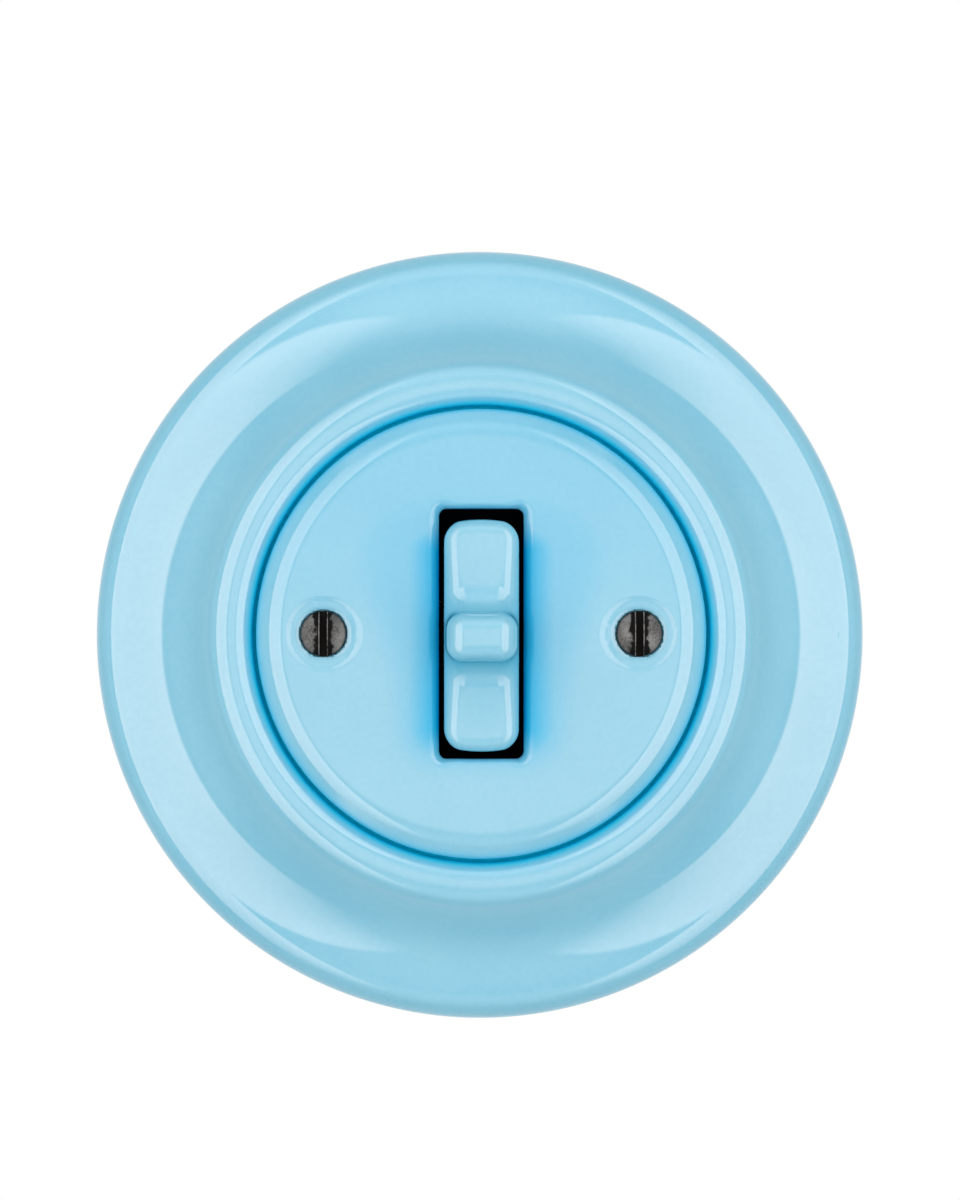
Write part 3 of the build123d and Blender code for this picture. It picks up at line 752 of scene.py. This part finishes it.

# %% [markdown]
# ## Glazed porcelain
#
# The glaze is a coloured glass over a white body. Its colour drifts a little from place to place
# and carries fine specks, and its surface has the long, shallow waves of something that melted.
# Roughness is very low, because the lamps show crisp in it. Beside the slot, in the groove, in the
# creases and hollows and low on the rocker's sides, shade is painted: a second, dull layer that
# reflects nothing, in a deeper colour, whose share is worked out from the place or kept by the mesh.

# %% Colours and grain of the glaze
GLAZE_PALE = (0.232, 0.605, 0.785)
GLAZE_DEEP = (0.202, 0.575, 0.760)
# Painted shade on the cover, beside the slot and low on its edge.
COVER_SHADE_COLOUR = (0.001, 0.510, 0.850)
# Painted shade in the groove round the cover, a saturated blue.
GROOVE_SHADE_COLOUR = (0.002, 0.780, 0.980)
# Painted shade on the rocker: in its hollows and crease, and low on its sides.
HOLLOW_SHADE_COLOUR = (0.001, 0.350, 0.560)
GLAZE_SHADE = (0.001, 0.060, 0.105)
DRIFT_CLOUDS, MOTTLE_CLOUDS, SPECK_CLOUDS, WAVE_CLOUDS = 70, 1300, 2600, 160
DRIFT_SHARE, SPECK_SHARE, SHADE_MOTTLE = 0.55, 0.35, 0.02
TONE_FROM, TONE_TO, SPECK_FROM, SPECK_TO = 0.32, 0.68, 0.70, 0.78
MOTTLE_DEPTH, WAVE_DEPTH = 1.5e-7, 1.5e-6
GLAZE_IOR, GLAZE_ROUGH, DRIFT_ROUGH, SHADE_ROUGH = 1.55, 0.04, 0.03, 0.6


def glazed_porcelain(name, painted_shade, shade_colour, shade=None):
    """Glaze over porcelain, and over that a dull layer of painted shade, in the share the first function
    gives.

    The painted shade has the given shade colour, darkened further by the share that the shade function
    gives, if there is one.
    """
    material, shader, place = finish_of(name)
    drift = place.noise(DRIFT_CLOUDS, detail=3.0)
    mottle = place.noise(MOTTLE_CLOUDS, detail=3.0, roughness=0.6)
    tone = DRIFT_SHARE * drift + (1 - DRIFT_SHARE) * mottle
    colour = tone.ramp((TONE_FROM, GLAZE_DEEP), (TONE_TO, GLAZE_PALE))
    specks = place.noise(SPECK_CLOUDS, detail=1.0).step(SPECK_FROM, SPECK_TO)
    colour = (SPECK_SHARE * specks).blend(colour, GLAZE_DEEP)
    waves = mottle.bump(MOTTLE_DEPTH, place.noise(WAVE_CLOUDS, detail=1.0).bump(WAVE_DEPTH))
    rough = GLAZE_ROUGH + DRIFT_ROUGH * drift
    feed(shader, Base_Color=colour, Roughness=rough, Normal=waves, IOR=GLAZE_IOR)
    # Painted shade: a dull layer in a deeper colour, which reflects nothing, laid over the glaze where
    # shade falls.
    shaded_glaze = (SHADE_MOTTLE * mottle).blend(shade_colour, GLAZE_DEEP)
    if shade:
        shaded_glaze = shade(place).blend(shaded_glaze, GLAZE_SHADE)
    layer(material, shader, painted_shade(place), Base_Color=shaded_glaze, Roughness=SHADE_ROUGH, Specular_IOR_Level=0.0)
    return material


print("the glaze drifts from", GLAZE_DEEP, "to", GLAZE_PALE)

# %% Glaze of the frame
GROOVE_SPREAD = 0.9


def frame_painted_shade(place):
    """Share of painted shade in the groove: full on the opening's wall, gone a little way over the lip."""
    x, _, z = place.millimetres()
    return 1 - hypotenuse(x, z).step(OPENING_R, OPENING_R + GROOVE_SPREAD)


frame_glaze = glazed_porcelain("frame_glaze", frame_painted_shade, GROOVE_SHADE_COLOUR)

# %% Glaze of the cover
TOP_SHORT, FOOT_SHORT, TOP_HASTE = 5.4, 4.0, 1.4
NEAR_REACH, FAR_FROM, FAR_TO = 3.9, 4.0, 11.0
NEAR_SHARE, FAR_SHARE, HIGH_SHARE = 0.74, 0.27, 0.6
LOW_HASTE, HIGH_EASE = 1.5, 0.8
HIGH_FROM, HIGH_TO, HIGH_SHADE_FROM, HIGH_SHADE_TO = -12.0, 10.0, -10.0, 20.0
RIM_FULL, RIM_GONE = 0.25, 1.0
EDGE_SPREAD, EDGE_SHARE, EDGE_FALL = 1.3, 0.60, 1.5
shade_top, shade_foot = SLOT_L / 2 - TOP_SHORT, SLOT_L / 2 - FOOT_SHORT


def cover_painted_shade(place):
    """Share of painted shade on the cover: beside the slot, a little more high up, and low on the edge by
    the groove.

    Away is the distance from the part of the slot that is shaded. The share is full on the rim, falls in a
    straight line beside it and then slowly, and the slow fall reaches further high up than low down.
    """
    x, _, z = place.millimetres()
    # Painted shade beside the slot.
    aside = (abs(x) - SLOT_W / 2).at_least(0.0)
    above = TOP_HASTE * (z - shade_top).at_least(0.0)
    away = hypotenuse(aside, above.at_least(-z - shade_foot))
    near = (1 - away / NEAR_REACH).at_least(0.0)
    haste = LOW_HASTE - HIGH_EASE * z.step(HIGH_FROM, HIGH_TO)
    far = 1 - (away * haste).step(FAR_FROM, FAR_TO)
    far_shade = far.at_least(HIGH_SHARE * z.step(HIGH_SHADE_FROM, HIGH_SHADE_TO))
    slot = (NEAR_SHARE * near + FAR_SHARE * far_shade).at_least(1 - away.step(RIM_FULL, RIM_GONE))
    # Painted shade low on the bevel, by the groove.
    inward = COVER_R - hypotenuse(x, z)
    edge = EDGE_SHARE * (1 - inward / EDGE_SPREAD).at_least(0.0) ** EDGE_FALL
    return slot.at_least(edge).at_most(1.0)


cover_glaze = glazed_porcelain("cover_glaze", cover_painted_shade, COVER_SHADE_COLOUR)

# %% Glaze of the rocker
SIDE_BELOW, SIDE_ABOVE = 0.5, 1.0
CREASE_MIDDLE, CREASE_THIN, CREASE_FULL = 0.25, 2.5, 4.2


def crease_share(place):
    """Share of painted shade in the crease that the mesh keeps, more at the sides."""
    x, _, _ = place.millimetres()
    sides = abs(x).step(CREASE_THIN, CREASE_FULL)
    return place.kept("crease") * (CREASE_MIDDLE + (1 - CREASE_MIDDLE) * sides)


def rocker_painted_shade(place):
    """Share of painted shade on the rocker: low on its sides down in the slot, in the crease and in the
    hollows.
    """
    _, y, _ = place.millimetres()
    # Painted shade low on the rocker's sides, down in the slot.
    low = 1 - (-y).step(FACE_H - SIDE_BELOW, FACE_H + SIDE_ABOVE)
    return low.at_least(crease_share(place)).at_least(place.kept("hollow"))


rocker_glaze = glazed_porcelain("rocker_glaze", rocker_painted_shade, HOLLOW_SHADE_COLOUR, crease_share)

# %% [markdown]
# ## Blackened screws
#
# The cover screws are blackened steel. Screwdrivers and fingers rubbed the domes grey, and that grey
# on the high crowns is also a painted reflection of the side lamps. The black stayed beside the slot,
# and a painted highlight runs along the slot's edges. A scratched image would need unwrapping,
# so the rubbed places are masks: how far from the slot, how high on the dome, and two grains of noise.

# %% Burnished steel
STEEL_BLACK, STEEL_RUB_AND_SHEEN, STEEL_EDGE_HIGHLIGHT = (0.003, 0.0033, 0.0035), (0.054, 0.066, 0.073), (0.13, 0.15, 0.16)
CROWN_FROM, CROWN_TO, CROWN_WANDER = 0.95, 1.35, 2.0
DOME_FROM, DOME_TO = 0.85, 1.05
EDGE_HIGHLIGHT_FULL, EDGE_GONE = 0.03, 0.09
RUB_SHEEN_ALL, RUB_SHEEN_CLOUD, RUB_SHEEN_GRAIN = 0.2, 0.5, 0.6
STEEL_ROUGH, RUBBED_ROUGH, GRAIN_ROUGH, STEEL_DEPTH = 0.46, 0.08, 0.2, 6e-6
STEEL_CLOUDS, STEEL_GRAINS, STEEL_PATCHES = 800, 4600, 330


def burnished_steel():
    """Blackened steel, rubbed grey on the crowns with a painted reflection there too, left black beside
    the slot, with a painted highlight on the slot's edges.
    """
    material, shader, place = finish_of("burnished_steel")
    x, y, _ = place.millimetres()
    aside = abs(abs(x) - SCREW_X)
    cloud = place.noise(STEEL_CLOUDS, detail=3.0, roughness=0.6)
    grain = place.noise(STEEL_GRAINS, detail=3.0, roughness=0.7)
    # Wear and painted reflection: the high crowns away from the slot are painted grey.
    crown = (aside + CROWN_WANDER * (cloud - 0.5)).step(CROWN_FROM, CROWN_TO)
    dome = (-y).step(recess_floor + HEAD_SIDE * DOME_FROM, recess_floor + HEAD_SIDE * DOME_TO)
    # Painted highlight: the slot's edges high on the dome are painted pale.
    edge = 1 - abs(aside - (SCREW_SLOT_W + SLOT_BEVEL) / 2).step(EDGE_HIGHLIGHT_FULL, EDGE_GONE)
    patches = place.noise(STEEL_PATCHES, detail=1.0).step(0.35, 0.65)
    rub_and_sheen = dome * crown * (RUB_SHEEN_ALL + RUB_SHEEN_CLOUD * patches + RUB_SHEEN_GRAIN * grain.step(0.28, 0.72))
    colour = rub_and_sheen.blend(STEEL_BLACK, STEEL_RUB_AND_SHEEN)
    colour = (dome * edge * cloud.step(0.3, 0.6)).blend(colour, STEEL_EDGE_HIGHLIGHT)
    rough = STEEL_ROUGH - RUBBED_ROUGH * rub_and_sheen + GRAIN_ROUGH * (grain - 0.5)
    feed(shader, Base_Color=colour, Roughness=rough, Metallic=1.0, Normal=grain.bump(STEEL_DEPTH))
    return material


screw_finish = burnished_steel()

# %% [markdown]
# ## Metals behind the cover
#
# The plate, rivets and pin are zinc-plated steel, the conductors brass, the contacts silver and the
# spring drawn wire. A plain metal colour would look flat from behind, so each has the grain of its
# making, stretched noise along the rolling or drawing, and clouds where it has dulled.

# %% Zinc, brass, silver and wire
ZINC_DULL, ZINC_BRIGHT = (0.42, 0.43, 0.44), (0.62, 0.63, 0.62)
BRASS_BRIGHT, BRASS_TARNISHED = (0.68, 0.47, 0.19), (0.40, 0.25, 0.09)
SILVER_BRIGHT, SILVER_DULL = (0.82, 0.80, 0.76), (0.48, 0.46, 0.43)
WIRE_DARK, WIRE_PALE = (0.20, 0.20, 0.21), (0.40, 0.40, 0.41)
ZINC_DEPTH, BRASS_DEPTH, SILVER_DEPTH, WIRE_DEPTH = 6e-6, 5e-6, 3e-6, 2e-6
ZINC_CLOUDS, BRASS_PATCHES, SILVER_CLOUDS = 130, 260, 1500
ROLLED, TURNED, DRAWN = (120, 120, 2600), (300, 3200, 300), (5000, 600, 5000)


def metal(shader, colour, rough, normal):
    """Make a finish's shader a metal with this colour, roughness and surface."""
    feed(shader, Base_Color=colour, Metallic=1.0, Roughness=rough, Normal=normal)


def zinc_steel():
    """Rolled sheet with a thin zinc coat: faint streaks along it and cloudy dulling."""
    material, shader, place = finish_of("zinc_steel")
    rolled = place.streaks(ROLLED, detail=4.0, roughness=0.6)
    cloud = place.noise(ZINC_CLOUDS, detail=4.0)
    colour = (0.5 * cloud + 0.5 * rolled).ramp((0.3, ZINC_DULL), (0.75, ZINC_BRIGHT))
    metal(shader, colour, 0.28 + 0.25 * cloud, rolled.bump(ZINC_DEPTH))
    return material


def brass():
    """Turned and sheared brass, warm and slightly tarnished in patches."""
    material, shader, place = finish_of("brass")
    tarnish = place.noise(BRASS_PATCHES, detail=5.0, roughness=0.6)
    grain = place.streaks(TURNED, detail=3.0)
    colour = tarnish.ramp((0.42, BRASS_BRIGHT), (0.72, BRASS_TARNISHED))
    metal(shader, colour, 0.22 + 0.30 * tarnish, grain.bump(BRASS_DEPTH))
    return material


def silver():
    """Contact silver, soft and dulled in small clouds."""
    material, shader, place = finish_of("silver")
    cloud = place.noise(SILVER_CLOUDS, detail=4.0)
    colour = cloud.ramp((0.35, SILVER_BRIGHT), (0.75, SILVER_DULL))
    metal(shader, colour, 0.18 + 0.3 * cloud, cloud.bump(SILVER_DEPTH))
    return material


def spring_steel():
    """Drawn wire with fine lines and a light oil darkening."""
    material, shader, place = finish_of("spring_steel")
    line = place.streaks(DRAWN, detail=3.0)
    metal(shader, line.blend(WIRE_DARK, WIRE_PALE), 0.25 + 0.2 * line, line.bump(WIRE_DEPTH))
    return material


finishes = {make.__name__: make() for make in (zinc_steel, brass, silver, spring_steel)}

# %% [markdown]
# ## Black mouldings
# Base, cradle and plunger are pressed insulation, near black with a brown cast and the marks of its
# flow in the mould. From behind it is satin. In front of the wall it shows only through the slot, and
# there shade is painted on it: a layer over the satin one, by depth, quite black and without
# reflections, saves a second material.

# %% Black moulding
MOULDING_BLACK, MOULDING_BROWN = (0.010, 0.009, 0.008), (0.030, 0.026, 0.023)
FRONT_SHADE_GREY, FRONT_SHADE_BLACK = (0.002, 0.003, 0.004), (0.001, 0.001, 0.002)
FRONT_SHADE_FROM, FRONT_SHADE_TO = 0.0, 3.0
GRITS, FLOWED, GRIT_DEPTH, FLOW_DEPTH = 5200, (90, 260, 90), 5e-6, 1.2e-5


def black_moulding():
    """Pressed insulation: near black with a brown cast and flow marks, satin behind, painted shade in
    front.
    """
    material, shader, place = finish_of("black_moulding")
    _, y, _ = place.millimetres()
    flow = place.streaks(FLOWED, detail=5.0, roughness=0.65)
    grit = place.noise(GRITS, detail=2.0)
    colour = (0.7 * flow + 0.3 * grit).ramp((0.3, MOULDING_BLACK), (0.75, MOULDING_BROWN))
    marks = grit.bump(GRIT_DEPTH, flow.bump(FLOW_DEPTH))
    feed(shader, Base_Color=colour, Roughness=0.34 + 0.22 * flow, Normal=marks)
    # Painted shade in front of the wall: near black, with no reflections.
    front_shade = flow.blend(FRONT_SHADE_GREY, FRONT_SHADE_BLACK)
    layer(material, shader, (-y).step(FRONT_SHADE_FROM, FRONT_SHADE_TO), Base_Color=front_shade, Specular_IOR_Level=0.0)
    return material


finishes["black_moulding"] = black_moulding()

# %% [markdown]
# ## Dress the pieces
#
# The finer skins take the place of the solids they were made for and ride on the same bodies, so
# that they move with them. The other solids keep their meshes and only get a finish. A table of
# finishes and nodes is easier to check against the record than a line for each.

# %% Skins, bodies and replaced solids


def dress(piece, material, body, slot, *nodes):
    """Give a new piece its finish, its body and the solids it stands for."""
    piece.data.materials.append(material)
    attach(piece, body)
    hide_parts(*nodes)
    print(piece.name, "replaces", *nodes, "on", body)


dress(glazed_frame, frame_glaze, "housing", "glazed_porcelain", "porcelain_frame")
dress(glazed_cover, cover_glaze, "housing", "glazed_porcelain", "cover_disc")
dress(glazed_rocker, rocker_glaze, "rocker_lever", "glazed_porcelain", "rocker")
dress(slotted_screws, screw_finish, "housing", "burnished_steel", "cover_screws")

# %% Finishes of the other solids
NODE_FINISH = {
    "zinc_steel": ["mounting_plate", "plate_rivets", "pivot_pin", "terminal_screws"],
    "brass": [
        "left_support_post", "right_support_post", "contact_bridge", "common_bracket",
        "upper_contact_strip", "lower_contact_strip", "upper_terminal_block",
        "lower_terminal_block", "common_terminal_block",
    ],
    "silver": ["upper_bridge_tip", "lower_bridge_tip", "upper_fixed_tip", "lower_fixed_tip"],
    "black_moulding": ["switch_base", "rocker_cradle", "plunger"],
    "spring_steel": ["plunger_spring"],
}
for finish, nodes in NODE_FINISH.items():
    for node in nodes:
        frame["nodes"][node].material_slots[0].material = finishes[finish]
print("dressed solids:", sum(len(nodes) for nodes in NODE_FINISH.values()))

# %% [markdown]
# ## The studio
#
# The portrait has a white ground and two tall soft lamps, left and right, which draw the clear
# bands in the glaze. Each is made twice: a plain lamp that lights the pieces, and a taller one with
# faded ends that only shows in reflections. Wide glows and cards fill the rest of the reflections,
# as the walls of a studio do, and a weak lamp from above lifts the tops. A pale floor takes the shadow
# and fades out. The world is white where the camera or a reflection looks at it, and only a soft fill
# where it lights the pieces.

# %% White world
WORLD_FILL = 0.52


def white_world():
    """White for the camera, reflections and glass; a soft fill for everything else."""
    world = bpy.data.worlds.new("studio")
    bpy.context.scene.world = world
    world.use_nodes = True
    tree = world.node_tree
    ground = tree.nodes["Background"]
    ground.inputs["Color"].default_value = (1.0, 1.0, 1.0, 1.0)
    paths = Flow(tree).node("ShaderNodeLightPath").socket.node.outputs
    camera, glossy, through = (
        Flow(tree, paths[name]) for name in ("Is Camera Ray", "Is Glossy Ray", "Is Transmission Ray")
    )
    shown = camera.at_least(glossy.at_least(through))
    feed(ground, Strength=WORLD_FILL + (1 - WORLD_FILL) * shown)
    print("world fill:", WORLD_FILL)


white_world()

# %% Pale floor
FLOOR_R, FLOOR_Z, FLOOR_HOLE = 300.0, -140.0, 1.0
FLOOR_RINGS, FLOOR_TURNS = 24, 96
FLOOR_GREY = (0.9, 0.9, 0.9, 1.0)


def pale_floor():
    """Round pale floor below the switch that fades out at its edge, and takes the soft shadow."""
    turn = np.linspace(0, 2 * np.pi, FLOOR_TURNS, endpoint=False)[None]
    radius = np.linspace(FLOOR_HOLE, FLOOR_R, FLOOR_RINGS)[:, None]
    level = FLOOR_Z + 0 * radius * turn
    points = np.stack([radius * np.cos(turn), radius * np.sin(turn), level], axis=-1).reshape(-1, 3) * MM
    up = np.zeros_like(points) + (0.0, 0.0, 1.0)
    floor = add_piece("floor", points, up, grid_quads(FLOOR_RINGS, FLOOR_TURNS, wrap_columns=True))
    material, shader, place = finish_of("floor")
    x, y, _ = place.millimetres()
    shown = 1 - hypotenuse(x, y).step(FLOOR_R / 2, FLOOR_R)
    feed(shader, Base_Color=FLOOR_GREY, Roughness=0.9, Alpha=shown)
    floor.data.materials.append(material)
    floor.visible_glossy = False


pale_floor()

# %% Lamps
WHITE, WARM = (1.0, 1.0, 1.0), (1.0, 0.74, 0.62)
SOFTBOX_ANGLE, GLOW_ANGLE, CARD_RISE, OVERHEAD_RISE = 44, 78, 50, 65
SOFTBOX_SIZE, SHINE_SIZE, GLOW_SIZE = (0.89, 2.4), (0.89, 4.3), (1.4, 2.4)
FRONT_SIZE, CARD_SIZE, OVERHEAD_SIZE = (1.2, 1.6), (1.6, 2.2), (1.6, 1.6)
SHINE_SIDES, SHINE_ENDS = (0.08, 0.06), (0.46, 0.46)
GLOW_FADE, FRONT_FADE, CARD_FADE = (0.6, 0.6, 0.3, 0.3), (0.3, 0.3, 0.4, 0.4), (0.4, 0.4, 0.5, 0.5)


def lamp(name, angle, rise, away, size, radiance, fade=None, tint=WHITE, diffuse=True, glossy=True):
    """Area lamp seen from the switch at an angle off the camera's axis, aimed at the switch.

    The fade is the share of the lamp over which its left, right, low and high sides dim to nothing.
    """
    data = bpy.data.lights.new(name, "AREA")
    data.shape, data.size, data.size_y = "RECTANGLE", *size
    data.energy, data.color = radiance * np.pi * size[0] * size[1], tint
    light = bpy.data.objects.new(name, data)
    turn, lift = radians(angle), radians(rise)
    towards = Vector((sin(turn) * cos(lift), -cos(turn) * cos(lift), sin(lift)))
    light.location = away * towards
    light.rotation_euler = towards.to_track_quat("Z", "Y").to_euler()
    light.visible_diffuse, light.visible_glossy = diffuse, glossy
    light.visible_camera = False
    bpy.context.scene.collection.objects.link(light)
    if fade:
        data.use_nodes = True
        tree = data.node_tree
        u, v, _ = Flow(tree).node("ShaderNodeNewGeometry", out="Parametric").parts()
        left, right, low, high = (side.step(0.0, share) for side, share in zip((u, 1 - u, v, 1 - v), fade))
        feed(tree.nodes["Emission"], Strength=left * right * low * high)
    print(f"{name}: {angle} degrees aside, {rise} up, {away} m away")


for side, name in ((-1, "left"), (1, "right")):
    angle, shine_fade = SOFTBOX_ANGLE * side, SHINE_SIDES[::-side] + SHINE_ENDS
    lamp(f"{name}_softbox", angle, 0, away=1.1, size=SOFTBOX_SIZE, radiance=1.0, glossy=False)
    lamp(f"{name}_softbox_shine", angle, 0, away=1.0, size=SHINE_SIZE, radiance=5.2,
         fade=shine_fade, tint=WARM, diffuse=False)
    lamp(f"{name}_glow", GLOW_ANGLE * side, 0, away=1.2, size=GLOW_SIZE, radiance=0.9,
         fade=GLOW_FADE, diffuse=False)
lamp("front_card", 0, 0, away=1.3, size=FRONT_SIZE, radiance=2.9,
     fade=FRONT_FADE, tint=WARM, diffuse=False)
lamp("low_card", 0, -CARD_RISE, away=1.3, size=CARD_SIZE, radiance=1.55, fade=CARD_FADE, diffuse=False)
lamp("high_card", 0, CARD_RISE, away=1.3, size=CARD_SIZE, radiance=2.3, fade=CARD_FADE, diffuse=False)
lamp("overhead", 0, OVERHEAD_RISE, away=1.5, size=OVERHEAD_SIZE, radiance=0.2, glossy=False)

# %% [markdown]
# ## The camera
#
# The portrait is taken square to the wall with a long lens, a hair from the left and from below. It
# could be matched by eye in the viewport, but a place, an aim and a lens that are written down are
# easier to keep. The Standard view shows colours about as they are written.

# %% Camera
LENS, SENSOR = 114.6, 36.0
VIEW_FROM = Vector((-0.0055, -0.5, -0.003))
VIEW_AT = Vector((0.0, 0.0, 0.0045))
cam_data = bpy.data.cameras.new("portrait")
cam_data.lens, cam_data.sensor_width = LENS, SENSOR
camera = bpy.data.objects.new("portrait", cam_data)
camera.location = VIEW_FROM
camera.rotation_euler = (VIEW_AT - VIEW_FROM).to_track_quat("-Z", "Y").to_euler()
bpy.context.scene.collection.objects.link(camera)
bpy.context.scene.camera = camera
bpy.context.scene.view_settings.view_transform = "Standard"
print(f"camera: {LENS} mm lens, {(VIEW_AT - VIEW_FROM).length:.3f} m from its aim")

# %% [markdown]
# ## The end
#
# The dressed switch has to stay inside the box of the solids, because other work relies on that
# box.
